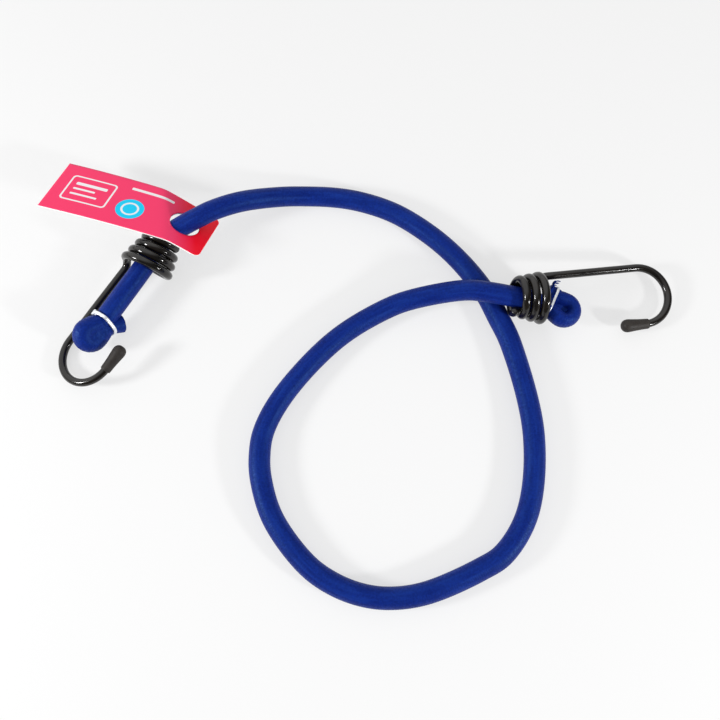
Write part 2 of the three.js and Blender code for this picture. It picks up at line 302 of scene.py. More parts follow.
# A little thicker and thinner along its length, and pressed wider where it lies under itself.
# Height counts more there, so that the upper length of cord keeps its thickness.
swing_share, swing_length, swing_seed = 0.012, 22 * mm, 0.3
crossing = np.array((54, -15, cord_rest / mm)) * mm
crossing_swell, crossing_reach, crossing_height_counts = 0.055, 20 * mm, 6
swings = [noise.noise((s / swing_length, swing_seed, 0)) for s in cord_along]
thickness = 1 + swing_share * np.array(swings)
from_crossing = np.linalg.norm((cord_line - crossing) * [1, 1, crossing_height_counts], axis=1)
thickness += crossing_swell * np.exp(-((from_crossing / crossing_reach) ** 2))
thickness *= cord_radius
cord_turns = np.arange(2 * rib_columns) / (2 * rib_columns)
ribs = rib_relief(cord_turns[None, :], cord_along[:, None])
cord = tube(
    "elastic_cord",
    cord_line,
    level_frames(cord_line),
    thickness[:, None] + rib_height * (ribs - 0.5),
)


def rested(piece):
    """Its own weight presses the underside flat on the table."""
    places = np.empty(len(piece.data.vertices) * 3)
    piece.data.vertices.foreach_get("co", places)
    places[2::3] = np.maximum(places[2::3], 0)
    piece.data.vertices.foreach_set("co", places)
    piece.data.update()


def clip_course(form, y, z):
    """How far along x the clip is moved by its lean and its skew, at a place across the legs."""
    middle = (form["pitch"] / 2 + form["under"]) * mm
    skewed = (y - middle) * math.tan(math.radians(form["clip_skew"]))
    return skewed + max(z, 0) * math.tan(math.radians(form["clip_lean"]))


# How deep a clip presses, over what length that fades, and how many such lengths it is felt.
clip_squeeze = 0.55 * mm
clip_squeeze_reach = 1.5 * mm
squeezed_box = 6


def waisted(piece, side):
    """Draws the cover in where the clip presses it."""
    form = fold_forms[side]
    inward = legs[side].inverted()
    near = clip_squeeze_reach * squeezed_box
    normals = [vertex.normal.copy() for vertex in piece.data.vertices]
    for vertex, normal in zip(piece.data.vertices, normals):
        x, y, z = inward @ vertex.co
        if abs(x) < near and abs(y) < near and abs(z) < near:
            off = x - form["clip"] * mm - clip_course(form, y, z)
            depth = clip_squeeze * math.exp(-((off / clip_squeeze_reach) ** 2))
            vertex.co -= normal * depth
    piece.data.update()


waisted(cord, "left")
waisted(cord, "right")
rested(cord)


def mapped(mesh, name, places_at):
    """Gives a mesh a map, from its vertices' places on it."""
    corners = np.empty(len(mesh.loops), int)
    mesh.loops.foreach_get("vertex_index", corners)
    mesh.uv_layers.new(name=name).data.foreach_set("uv", places_at[corners].ravel())


# Two maps say for each place on the cover where it is round the cord, and how far along it in
# millimetres.
sides = len(cord_turns)
turn = 2 * math.pi * np.tile(np.arange(sides), len(cord_line)) / sides
far = np.repeat(cord_along, sides) / mm
mapped(cord.data, "round", np.stack([np.cos(turn), np.sin(turn)], axis=1))
mapped(cord.data, "along", np.stack([far, 0 * far], axis=1))


def node(tree, kind, inputs=(), **settings):
    """A node with its settings. Its inputs are values, or outputs to join, by name or number."""
    made = tree.nodes.new(kind)
    for name, value in settings.items():
        setattr(made, name, value)
    for name, value in dict(inputs).items():
        if isinstance(value, bpy.types.NodeSocket):
            tree.links.new(value, made.inputs[name])
        else:
            made.inputs[name].default_value = value
    return made


def maths(tree, operation, *values):
    """A step of arithmetic with numbers, as an output."""
    return node(tree, "ShaderNodeMath", dict(enumerate(values)), operation=operation).outputs[0]


def open_group(name, takes, gives):
    """A node group with its sockets, and the nodes at its two ends."""
    group = bpy.data.node_groups.new(name, "ShaderNodeTree")
    for title, kind, value in takes:
        socket = group.interface.new_socket(title, in_out="INPUT", socket_type=kind)
        if value is not None:
            socket.default_value = value
    for title, kind in gives:
        group.interface.new_socket(title, in_out="OUTPUT", socket_type=kind)
    return group, group.nodes.new("NodeGroupInput"), group.nodes.new("NodeGroupOutput")


# Unevenness of a finish: soft patches of a chosen size on the piece itself, from 0 to 1.
patches, taken, given = open_group(
    "uneven patches",
    [
        ("Size", "NodeSocketFloat", mm),
        ("Contrast", "NodeSocketFloat", 1),
        ("Detail", "NodeSocketFloat", 2),
    ],
    [("Amount", "NodeSocketFloat")],
)
per_size = maths(patches, "DIVIDE", 1.0, taken.outputs["Size"])
own_space = node(patches, "ShaderNodeTexCoord").outputs["Object"]
grown = node(
    patches,
    "ShaderNodeTexNoise",
    {"Vector": own_space, "Scale": per_size, "Detail": taken.outputs["Detail"]},
)
offset = maths(patches, "SUBTRACT", grown.outputs[0], 0.5)
stronger = node(
    patches,
    "ShaderNodeMath",
    {0: offset, 1: taken.outputs["Contrast"], 2: 0.5},
    operation="MULTIPLY_ADD",
    use_clamp=True,
)
patches.links.new(stronger.outputs[0], given.inputs["Amount"])


def uneven(tree, size, contrast, detail=2.0):
    """The patches placed in a material, as an output from 0 to 1."""
    values = {"Size": size, "Contrast": contrast, "Detail": detail}
    return node(tree, "ShaderNodeGroup", values, node_tree=patches).outputs["Amount"]


def blended(tree, amount, low, high):
    """A colour between two, by an amount."""
    low, high = ((*c, 1) if isinstance(c, tuple) else c for c in (low, high))
    mix = node(tree, "ShaderNodeMix", {0: amount, 6: low, 7: high}, data_type="RGBA")
    return mix.outputs[2]


def between(tree, amount, low, high):
    """A number between two, by an amount."""
    return node(tree, "ShaderNodeMapRange", {0: amount, 3: low, 4: high}).outputs[0]


def map_at(tree, name):
    """The place that one of the piece's maps gives."""
    return node(tree, "ShaderNodeUVMap", uv_map=name).outputs[0]


def bumped(tree, shader, height, depth):
    """Raises the shading by a height from 0 to 1, times a depth."""
    bump = node(tree, "ShaderNodeBump", {"Height": height, "Distance": depth})
    tree.links.new(bump.outputs[0], shader.inputs["Normal"])


def new_finish(name, **values):
    """A new material, with the values that are the same all over it."""
    material = bpy.data.materials.new(name)
    material.use_nodes = True
    shader = material.node_tree.nodes["Principled BSDF"]
    for title, value in values.items():
        shader.inputs[title.replace("_", " ")].default_value = value
    return material, material.node_tree, shader


# Dyed polyester yarn: deep blue, a little shiny, with darker nicks between the ribs.
yarn_blue = (0.0035, 0.0160, 0.200)
yarn_deep = (0.0010, 0.0060, 0.120)
yarn_light = (0.0075, 0.0320, 0.250)

woven, tree, shader = new_finish(
    "woven blue cover",
    Specular_IOR_Level=0.3,
    Specular_Tint=(0.22, 0.55, 1.0, 1),
    Sheen_Weight=0.02,
    Sheen_Roughness=0.35,
    Sheen_Tint=(0.3, 0.6, 1.0, 1),
)
nicks = uneven(tree, size=0.8 * mm, contrast=2.6)
paler = between(tree, uneven(tree, size=9 * mm, contrast=2.2), 0, 0.25)
dyed = blended(tree, nicks, yarn_deep, yarn_blue)
dyed = blended(tree, paler, dyed, yarn_light)

# The yarns that run the length of the cord show as long streaks, lighter and darker. The folds
# have no such maps and stay plain. The length is in millimetres, as on the map.
streak_length = 45.0
streaks_round = 3.2
streak_strength = 0.5
round_at = node(tree, "ShaderNodeSeparateXYZ", {0: map_at(tree, "round")})
along_at = node(tree, "ShaderNodeSeparateXYZ", {0: map_at(tree, "along")})
run = maths(tree, "DIVIDE", along_at.outputs[0], streak_length)
streak_at = node(
    tree,
    "ShaderNodeCombineXYZ",
    {0: round_at.outputs[0], 1: round_at.outputs[1], 2: run},
)
streaks = node(
    tree,
    "ShaderNodeTexNoise",
    {"Vector": streak_at.outputs[0], "Scale": streaks_round, "Detail": 2.0},
)
for yarn, weakest, strongest in ((yarn_light, 0.5, 0.72), (yarn_deep, 0.48, 0.3)):
    streak = node(
        tree,
        "ShaderNodeMapRange",
        {0: streaks.outputs[0], 1: weakest, 2: strongest, 3: 0.0, 4: streak_strength},
    )
    dyed = blended(tree, streak.outputs[0], dyed, yarn)
tree.links.new(dyed, shader.inputs["Base Color"])
tree.links.new(between(tree, nicks, 0.58, 0.42), shader.inputs["Roughness"])
fuzz = uneven(tree, size=0.3 * mm, contrast=2.0, detail=3.0)
bumped(tree, shader, fuzz, 0.01 * mm)

cord.data.materials.append(woven)
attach(cord, "cord")
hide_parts("cord_cover", "cord_core")


# Hooks
# Each is one length of steel wire with a glossy black coating, wound into a cone of turns round
# the cord, then run out straight and bent back in a half round. The bend is left open.
wire_radius = 1.55 * mm
coil_turns = 3.555
coil_pitch = 3.58 * mm
coil_narrow = 6.22 * mm
coil_wide = 9.24 * mm
neck_length = 4 * mm
neck_fullness = 0.6
shank_length = 35 * mm
shank_splay = math.radians(7.8)
bend_radius = 11.6 * mm
tip_length = 7.3 * mm
wire_sides = 24
wire_spacing = 0.35 * mm
wire_first_up = (0.2, 0.3, 1)
cut_edge = 0.35 * mm

# The route's point in the coil's narrow end, then the hook's turns about z, y and its own x.
hook_places = {
    "left": (cord_route[2], (241.5, 5.68, -162.8)),
    "right": (cord_route[-3], (0.8, 8.11, 6)),
}


def hook_frame(side):
    """The frame of a hook, with its coil's axis on x."""
    grip, turns = hook_places[side]
    azimuth, dip, roll = (math.radians(turn) for turn in turns)
    at = Vector(grip) * mm + Vector((0, 0, cord_rest))
    return Matrix.Translation(at) @ Euler((roll, dip, azimuth), "XYZ").to_matrix().to_4x4()


def moved(line, matrix):
    """A line's points taken from the frame of a matrix into the scene."""
    return line @ np.array(matrix.to_3x3()).T + np.array(matrix.translation)


def carried_frames(line, first_up):
    """Sideways and up for each point of a line, carried along it without twisting."""
    way = np.gradient(line, axis=0)
    way /= np.linalg.norm(way, axis=1)[:, None]
    up = np.zeros_like(way)
    last = np.array(first_up, float)
    for i, w in enumerate(way):
        last = last - (last @ w) * w
        last /= np.linalg.norm(last)
        up[i] = last
    return np.cross(up, way), up


def coil_point(turn):
    """A point of the coil. Its axis is x, and the hook lies in the plane of x and y."""
    angle = 2 * math.pi * (turn - coil_turns)
    radius = coil_narrow + (coil_wide - coil_narrow) * turn / coil_turns
    return np.array([coil_pitch * turn, radius * math.cos(angle), radius * math.sin(angle)])


def hook_line():
    """Centre line of the wire in the hook's own frame, from the coil's cut end to the tip."""
    shank_way = np.array([math.cos(shank_splay), math.sin(shank_splay), 0])
    inward = np.array([math.sin(shank_splay), -math.cos(shank_splay), 0])
    last_turn = coil_turns - neck_length / (2 * math.pi * coil_wide)
    coil_points, neck_points, bend_points = 400, 24, 80
    points = [coil_point(turn) for turn in np.linspace(0, last_turn, coil_points)]

    # The neck turns the wire from round the cord to along it.
    start = points[-1]
    leave = coil_point(last_turn + 0.01) - start
    first_handle = start + leave / np.linalg.norm(leave) * neck_fullness * neck_length
    shank_start = np.array([coil_pitch * coil_turns + neck_length, coil_wide, 0])
    last_handle = shank_start - shank_way * neck_fullness * neck_length
    for t in np.linspace(0, 1, neck_points)[1:]:
        points.append(
            start * (1 - t) ** 3
            + first_handle * 3 * t * (1 - t) ** 2
            + last_handle * 3 * t**2 * (1 - t)
            + shank_start * t**3
        )
    centre = shank_start + shank_way * shank_length + inward * bend_radius
    for angle in np.linspace(0, math.pi, bend_points):
        out = shank_way * math.sin(angle) - inward * math.cos(angle)
        points.append(centre + out * bend_radius)
    points.append(points[-1] - shank_way * tip_length)
    return evenly(np.array(points), wire_spacing)


# Coating over steel: black, with a slight orange peel and duller rubbed patches.
coat_black = (0.0045, 0.0042, 0.0042)
coat_rubbed = (0.0100, 0.0075, 0.0055)
coated, tree, shader = new_finish("black coated wire", Specular_IOR_Level=0.46)
rubbed = uneven(tree, size=5 * mm, contrast=2.5, detail=4.0)
black = blended(tree, rubbed, coat_black, coat_rubbed)
tree.links.new(black, shader.inputs["Base Color"])
tree.links.new(between(tree, rubbed, 0.11, 0.2), shader.inputs["Roughness"])
orange_peel = uneven(tree, size=1.4 * mm, contrast=1.2)
bumped(tree, shader, orange_peel, 0.014 * mm)

wire_line = hook_line()
wire_along = distances(wire_line)

# The coating is thicker on the coil, where it runs together between the turns. It varies a
# little everywhere, and rounds the wire's cut edge.
coat_share, coat_length = 0.012, 7 * mm
cut_rounding = 0.14
coil_coat, coil_coat_end = 0.065, 2 * mm
coil_run = wire_along[-1] - tip_length - math.pi * bend_radius - shank_length - neck_length
for side, seed in (("left", 11.0), ("right", 47.0)):
    coat = 1 + coat_share * np.array([noise.noise((s / coat_length, seed, 0)) for s in wire_along])
    from_cut = np.clip(wire_along / cut_edge, 0, 1)
    coat *= 1 - cut_rounding + cut_rounding * np.sqrt(1 - (1 - from_cut) ** 2)
    coat *= 1 + coil_coat * (0.5 - 0.5 * np.tanh((wire_along - coil_run) / coil_coat_end))
    placed = moved(wire_line, hook_frame(side))
    hook = tube(
        side + "_wound_hook",
        placed,
        carried_frames(placed, wire_first_up),
        np.repeat(wire_radius * coat[:, None], wire_sides, axis=1),
    )
    hook.data.materials.append(coated)
    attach(hook, side + "_hook")
    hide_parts(side + "_hook_wire")


# Tip caps
# Soft vinyl, dipped and pushed over the wire's end so that a hook doesn't scratch what it hangs
# on. A cap swells from its mouth to its closed end, which has a shallow dent.
cap_cover = 8 * mm
cap_sides = 48
cap_spacing = 0.12 * mm

# Radius and place along, in millimetres, from the mouth to the middle of the closed end.
cap_profile = [
    (1.45, 0.3),
    (1.58, 0.06),
    (1.78, 0),
    (1.95, 0.12),
    (2.02, 0.45),
    (2.08, 2),
    (2.26, 4.8),
    (2.48, 7.2),
    (2.6, 8.5),
    (2.56, 9.2),
    (2.38, 9.95),
    (2.02, 10.55),
    (1.5, 11),
    (0.95, 11.26),
    (0.5, 11.33),
    (0.15, 11.3),
]


def turned(name, profile, sides, matrix):
    """A closed form turned round x, through points of its radius and its place along."""
    outline = smooth_line([(x * mm, r * mm, 0) for r, x in profile], cap_spacing)
    angle = 2 * math.pi * np.arange(sides) / sides
    radius = outline[:, 1:2]
    along = np.repeat(outline[:, :1], sides, axis=1)
    rings = np.stack([along, radius * np.cos(angle), radius * np.sin(angle)], axis=2)
    return shaped(name, moved(rings.reshape(-1, 3), matrix), ring_faces(len(outline), sides))


vinyl_dark = (0.018, 0.0145, 0.013)
vinyl_pale = (0.033, 0.028, 0.024)
vinyl, tree, shader = new_finish("soft vinyl", Specular_IOR_Level=0.28)
grain = uneven(tree, size=2.4 * mm, contrast=2.0, detail=3.0)
grey = blended(tree, grain, vinyl_dark, vinyl_pale)
tree.links.new(grey, shader.inputs["Base Color"])
tree.links.new(between(tree, grain, 0.5, 0.64), shader.inputs["Roughness"])
bumped(tree, shader, uneven(tree, size=0.4 * mm, contrast=1.5), 0.02 * mm)

tip_way = Vector(wire_line[-1] - wire_line[-2]).normalized()
cap_seat = Matrix.Translation(Vector(wire_line[-1]) - tip_way * cap_cover)
cap_aim = tip_way.to_track_quat("X", "Z").to_matrix().to_4x4()
for side in ("left", "right"):
    cap = turned(side + "_tip_cap", cap_profile, cap_sides, hook_frame(side) @ cap_seat @ cap_aim)
    cap.data.materials.append(vinyl)
    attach(cap, side + "_hook")
    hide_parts(side + "_hook_cap")


# Folded ends
# The cord doubled back on itself, so that it can't slip through its hook. The loop is pressed
# into a knob, the braid gathers at the clip, and a short cut end comes out on its other side.
fold_sides = 64
fold_voxel = 0.22 * mm
gathers = 11
gather_depth = 0.16 * mm
gather_reach = 2.6 * mm
bulge_reach = 5 * mm

# The cord's radius in the loop and at the cut end, how much fatter the loop is at its middle, how
# much slimmer it is in the plane of the legs, the half height of what fills the hollow, and how
# often the surface is smoothed over.
fold_looks = {
    "left": {
        "radius": 3.9 * mm,
        "bulge": 0.12,
        "slim": 0.0,
        "filling": 3.9 * mm,
        "rounds": 40,
        "cut_radius": 3.5 * mm,
    },
    "right": {
        "radius": 3.8 * mm,
        "bulge": 0.0,
        "slim": 0.24,
        "filling": 0.7 * mm,
        "rounds": 6,
        "cut_radius": 3.4 * mm,
    },
}

# How the loop comes out of the cord's own skin: over what length its radius changes, and how far
# and how deep its first end lies inside the cord. It ends some points past the clip. Its hollow is
# filled by a plug, from some millimetres past the clip to a share of the loop.
cord_fade = 3.2 * mm
tuck_length, tuck_depth = 1.4 * mm, 0.3 * mm
past_clip = 3
plug_from_clip, plug_share, plug_shift_share = 1.0, 0.9, 0.5
smoothing_share = 0.5

# The cut end: how far it runs back into the clip, its rim as places past the end in millimetres
# and shares of the radius, and the roughness of the cut itself.
cut_end_lap = 1.6 * mm
cut_rim = [(0.10, 0.97), (0.25, 0.90), (0.36, 0.80), (0.30, 0.62), (0.05, 0.40), (-0.1, 0.15)]
cut_roughness, cut_grain = 0.12 * mm, 0.9 * mm


def joined(first, second):
    """Puts the second object's mesh into the first one's."""
    work = bmesh.new()
    work.from_mesh(first.data)
    work.from_mesh(second.data)
    work.to_mesh(first.data)
    work.free()
    bpy.data.objects.remove(second)


def skinned(piece, voxel, rounds):
    """Makes one smoothed skin of the piece's overlapping forms."""
    skin = piece.modifiers.new("skin", "REMESH")
    skin.mode = "VOXEL"
    skin.voxel_size = voxel
    relaxed = piece.modifiers.new("relaxed", "SMOOTH")
    relaxed.factor = smoothing_share
    relaxed.iterations = rounds
    depsgraph = bpy.context.evaluated_depsgraph_get()
    made = bpy.data.meshes.new_from_object(piece.evaluated_get(depsgraph))
    piece.modifiers.clear()
    piece.data = made


def ribbed(piece, line, frames, clip_places):
    """Raises the cover's ribs on a skin round a line, and its gathers beside the clip."""
    nearest = KDTree(len(line))
    for i, point in enumerate(line):
        nearest.insert(point, i)
    nearest.balance()
    along = distances(line)
    way = np.gradient(line, axis=0)
    way /= np.linalg.norm(way, axis=1)[:, None]
    across, up = frames
    mesh = piece.data
    normals = [vertex.normal.copy() for vertex in mesh.vertices]
    for vertex, normal in zip(mesh.vertices, normals):
        i = nearest.find(vertex.co)[1]
        spoke = np.array(vertex.co) - line[i]
        turn = math.atan2(spoke @ up[i], spoke @ across[i]) / (2 * math.pi) % 1
        height = rib_height * (rib_relief(turn, along[i] + spoke @ way[i]) - 0.5)
        from_clip = min(abs(along[i] - place) for place in clip_places)
        fade = math.exp(-((from_clip / gather_reach) ** 2))
        height += gather_depth * fade * (math.cos(2 * math.pi * gathers * turn) - 1) / 2
        vertex.co += normal * height
    mesh.update()


def cut_end(name, line, frames, radius):
    """The short end past the clip: ribbed, its rim rounded, its middle drawn in a little."""
    along = distances(line)
    turns = np.arange(2 * rib_columns) / (2 * rib_columns)
    reach = radius + rib_height * (rib_relief(turns[None, :], along[:, None]) - 0.5)
    way = (line[-1] - line[-2]) / np.linalg.norm(line[-1] - line[-2])
    extra = [line[-1] + way * out * mm for out, share in cut_rim]
    across, up = (np.vstack([f, np.repeat(f[-1:], len(cut_rim), axis=0)]) for f in frames)
    closing = [reach[-1] * share for out, share in cut_rim]
    made = tube(name, np.vstack([line, extra]), (across, up), np.vstack([reach, closing]))
    for vertex in made.data.vertices[-len(cut_rim) * len(turns) :]:
        vertex.co += Vector(way) * cut_roughness * noise.noise(vertex.co / cut_grain)
    return made


for side in ("left", "right"):
    form, looks = fold_forms[side], fold_looks[side]
    line = fold_lines[side]
    along = distances(line)
    flat = np.array([legs[side].inverted() @ Vector(point) for point in line]) / mm
    turn_at = int(np.argmax(flat[:, 0]))
    tail_clip_at = turn_at + int(np.argmin(abs(flat[turn_at:, 0] - form["clip"])))
    clip_places = [clip_lap * line_spacing, along[tail_clip_at]]
    leg_up = legs[side].to_3x3() @ Vector((0, 0, 1))

    # The loop, a little past the clip at both its ends. It comes out of the cord's own skin.
    loop = line[: tail_clip_at + past_clip]
    loop_along = along[: len(loop)]
    angle = 2 * math.pi * np.arange(fold_sides) / fold_sides
    from_turn = (loop_along - along[turn_at]) / bulge_reach
    fatter = looks["bulge"] * np.exp(-(from_turn**2))
    reach = looks["radius"] * (1 + fatter)
    at_start = np.exp(-((loop_along / cord_fade) ** 2))
    reach += (cord_radius - looks["radius"]) * at_start
    reach -= tuck_depth * np.clip(1 - loop_along / tuck_length, 0, 1)
    slim = 1 - looks["slim"] * (1 - at_start)
    oval = 1 / np.hypot(np.cos(angle) / slim[:, None], np.sin(angle))
    frames = carried_frames(loop, leg_up)
    folded = tube(side + "_fold", loop, frames, reach[:, None] * oval)

    # A plug in the hollow between the legs, which the skin then covers.
    low, high = form["clip"] + plug_from_clip, form["turn"] + form["loop"] * plug_share
    aside = form["pitch"] / 2 + form["shift"] * plug_shift_share
    middle = Vector(((low + high) / 2, aside, 0)) * mm
    half = Vector(((high - low) / 2 * mm, form["loop"] * mm, looks["filling"]))
    plug = Matrix.Translation(middle) @ Matrix.Diagonal((*half, 1))
    ball = bmesh.new()
    bmesh.ops.create_icosphere(ball, subdivisions=4, radius=1, matrix=legs[side] @ plug)
    filling = bpy.data.objects.new("filling", bpy.data.meshes.new("filling"))
    ball.to_mesh(filling.data)
    ball.free()
    joined(folded, filling)
    skinned(folded, fold_voxel, looks["rounds"])
    ribbed(folded, loop, frames, clip_places)
    waisted(folded, side)

    cut_line = line[tail_clip_at - round(cut_end_lap / line_spacing) :]
    cut_frames = carried_frames(cut_line, leg_up)
    radius = np.linspace(looks["radius"] - clip_squeeze, looks["cut_radius"], len(cut_line))
    joined(folded, cut_end("cut end", cut_line, cut_frames, radius[:, None]))
    rested(folded)
    folded.data.shade_smooth()
    folded.data.materials.clear()
    folded.data.materials.append(woven)
    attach(folded, "cord")
    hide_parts(side + "_folded_end")

# Loose threads of the cover at the right one's cut end, in clumps that stand out sideways and lean
# over. Each takes its half turn round the end, its length, its lean along the scene's axes and its
# radius by chance, between two values. Lengths and radii are in millimetres.
thread_count = 13
thread_sides = 8
thread_spacing = 0.15 * mm
thread_root_reach, thread_root_depth = 2.9 * mm, 0.5 * mm
thread_half_turns = (0.5, 1.02)
thread_lengths = (2.0, 4.2)
thread_leans = [(-0.2, 0.9), (-0.2, 0.35), (-0.4, 0.2)]
thread_radii = (0.26, 0.46)
thread_end_share = 0.5
thread_first_up = (0.3, 0.2, 1)

# A thread's points past its root, as shares of its length: along the cord, outwards and leaning.
thread_course = [(0.12, 0.3, 0), (0.1, 0.55, 0.2), (0, 0.6, 0.5)]
random.seed(7)
way = fold_lines["right"][-1] - fold_lines["right"][-2]
way /= np.linalg.norm(way)
thread_across, thread_up = (f[-1] for f in carried_frames(fold_lines["right"], (0, 0, 1)))
threads = None
for k in range(thread_count):
    turn = random.uniform(*thread_half_turns) * math.pi
    spread = math.cos(turn) * thread_across + math.sin(turn) * thread_up
    root = fold_lines["right"][-1] + spread * thread_root_reach - way * thread_root_depth
    reach = random.uniform(*thread_lengths) * mm
    aside = np.array([random.uniform(*lean) for lean in thread_leans])
    points = [root]
    for on, out, over in thread_course:
        points.append(root + way * reach * on + spread * reach * out + aside * reach * over)
    line = smooth_line(points, thread_spacing)
    thick = random.uniform(*thread_radii) * mm
    thin = thick * np.linspace(1, thread_end_share, len(line))[:, None] * np.ones(thread_sides)
    thread = tube("right_frayed_threads", line, carried_frames(line, thread_first_up), thin)
    if threads is None:
        threads = thread
    else:
        joined(threads, thread)
threads.data.shade_smooth()
threads.data.materials.append(woven)
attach(threads, "cord")


# Clips
# A narrow strip of bright metal bent once round both legs of each fold and pressed shut, with
# its end lapped over its beginning.

# The strip's width and thickness, the turn in degrees where its lap begins, how far it laps, and
# how much wider its end is pressed.
clip_looks = {
    "left": {"wide": 1.3 * mm, "thick": 0.75 * mm, "lap_from": 172, "lap": 50, "tab": 1.8},
    "right": {"wide": 0.95 * mm, "thick": 0.52 * mm, "lap_from": -80, "lap": 50, "tab": 1.2},
}
clip_y, clip_z = 3.15 * mm, 3.75 * mm
clip_spacing = 0.25 * mm
clip_step = 7
lap_rise_share = 0.6
lap_clearance = 1.02


def clip_line(looks, form):
    """Centre line of the strip round the two legs, from the middle of the clip."""
    pitch, middle = form["pitch"] * mm, (form["pitch"] / 2 + form["under"]) * mm
    round_y, round_z = clip_y + looks["thick"] / 2, clip_z + looks["thick"] / 2
    points = []
    first, rise = looks["lap_from"], looks["lap"] * lap_rise_share
    for angle in np.arange(first, first + 360 + looks["lap"] + 1, clip_step):
        c, s = math.cos(math.radians(angle)), math.sin(math.radians(angle))
        past = (angle - first - 360 + rise) / rise
        out = looks["thick"] * lap_clearance * min(1, max(0, past))
        y = math.copysign(pitch / 2, c) + (round_y + out) * c
        z = (round_z + out) * s
        points.append((clip_course(form, middle + y, z), y, z))
    return smooth_line(points, clip_spacing)


metal_scuffed = (0.74, 0.77, 0.82)
metal_bright = (0.93, 0.95, 0.97)
bright, tree, shader = new_finish("bright clip metal", Metallic=0.55, Specular_IOR_Level=0.6)
scuffs = uneven(tree, size=1.2 * mm, contrast=3.0, detail=4.0)
silver = blended(tree, scuffs, metal_scuffed, metal_bright)
tree.links.new(silver, shader.inputs["Base Color"])
tree.links.new(between(tree, scuffs, 0.45, 0.3), shader.inputs["Roughness"])
bumped(tree, shader, uneven(tree, size=0.5 * mm, contrast=1.5), 0.02 * mm)

strip_sides = 20
strip_squareness = 5
tab_from, tab_rise = 0.9, 0.04
for side in ("left", "right"):
    form, looks = fold_forms[side], clip_looks[side]
    middle = Vector((form["clip"], form["pitch"] / 2 + form["under"], 0)) * mm
    at_clip = legs[side] @ Matrix.Translation(middle)
    line = clip_line(looks, form)
    placed = moved(line, at_clip)
    frames = carried_frames(placed, at_clip.to_3x3() @ Vector((1, 0, 0)))

    # A rectangle with rounded corners: wide along the cord, thin across it, and widened to a
    # pressed tab where it laps.
    angle = 2 * math.pi * np.arange(strip_sides) / strip_sides
    along = distances(line)
    lapped = np.clip((along / along[-1] - tab_from) / tab_rise, 0, 1)
    widths = looks["wide"] * (1 + (looks["tab"] - 1) * lapped)
    x, y = np.cos(angle) / looks["thick"], np.sin(angle)[None, :] / widths[:, None]
    power = strip_squareness
    section = 0.5 / (abs(x)[None, :] ** power + abs(y) ** power) ** (1 / power)
    strip = tube(side + "_clip_strip", placed, frames, section)
    strip.data.materials.append(bright)
    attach(strip, "cord")
    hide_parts(side + "_end_clip")


# Hang tag
# A printed and varnished card with a punched hole, threaded on the cord. It curls a little and
# is creased where the cord pushes through it.
tag_length = 66.8 * mm
tag_height = 26.7 * mm
tag_thickness = 0.5 * mm
tag_corner = 2.5 * mm
tag_hole_radius = 6.0 * mm
tag_hole_from_end = 11.1 * mm
tag_skew = math.radians(24)
tag_curl_radius = 430 * mm
tag_crease_turn = math.radians(18.3)
tag_crease_from_hole = 7.5 * mm
tag_crease_softness = 1.74 * mm
tag_turns = (-19.9, 4.2, -14.7)
tag_spot = cord_route[4]
tag_grid = 0.6 * mm
tag_rings = 14
tag_corner_points = 9


def tag_pattern():
    """The flat card as points and faces, x along it and the origin in the middle of its hole."""
    left, right = tag_hole_from_end - tag_length, tag_hole_from_end
    half = tag_height / 2
    seam = -half
    rows = round(tag_height / tag_grid)
    levels = np.linspace(half, -half, rows + 1)
    columns = round((seam - left) / tag_grid)
    xs = np.linspace(left, seam, columns + 1)
    points = [(x, y) for x in xs for y in levels]
    faces = []
    for i in range(columns):
        for j in range(rows):
            a = i * (rows + 1) + j
            faces.append((a, a + 1, a + rows + 2, a + rows + 1))

    # From the seam round the hole's end, with its two rounded corners.
    inner, low, high = right - tag_corner, tag_corner - half, half - tag_corner
    steps, flat = round((inner - seam) / tag_grid), round((high - low) / tag_grid)
    lower = np.linspace(-math.pi / 2, 0, tag_corner_points)[1:]
    upper = np.linspace(0, math.pi / 2, tag_corner_points)[1:]
    rim = [(seam, y) for y in levels]
    rim += [(x, -half) for x in np.linspace(seam, inner, steps + 1)[1:]]
    rim += [(inner + tag_corner * math.cos(t), low + tag_corner * math.sin(t)) for t in lower]
    rim += [(right, y) for y in np.linspace(low, high, flat + 1)[1:]]
    rim += [(inner + tag_corner * math.cos(t), high + tag_corner * math.sin(t)) for t in upper]
    rim += [(x, half) for x in np.linspace(inner, seam, steps + 1)[1:-1]]
    rim = np.array(rim)
    hole = rim / np.linalg.norm(rim, axis=1)[:, None] * tag_hole_radius
    around = len(rim)
    first = len(points)
    shared = [columns * (rows + 1) + j for j in range(rows + 1)]
    number = {}
    for ring in range(tag_rings + 1):
        share = ring / tag_rings
        for k in range(around):
            if ring == 0 and k <= rows:
                number[ring, k] = shared[k]
            else:
                number[ring, k] = len(points)
                points.append(tuple(rim[k] * (1 - share) + hole[k] * share))
    for ring in range(tag_rings):
        for k in range(around):
            n = (k + 1) % around
            corners = [(ring, k), (ring, n), (ring + 1, n), (ring + 1, k)]
            faces.append(tuple(number[corner] for corner in corners))
    return np.array(points), faces


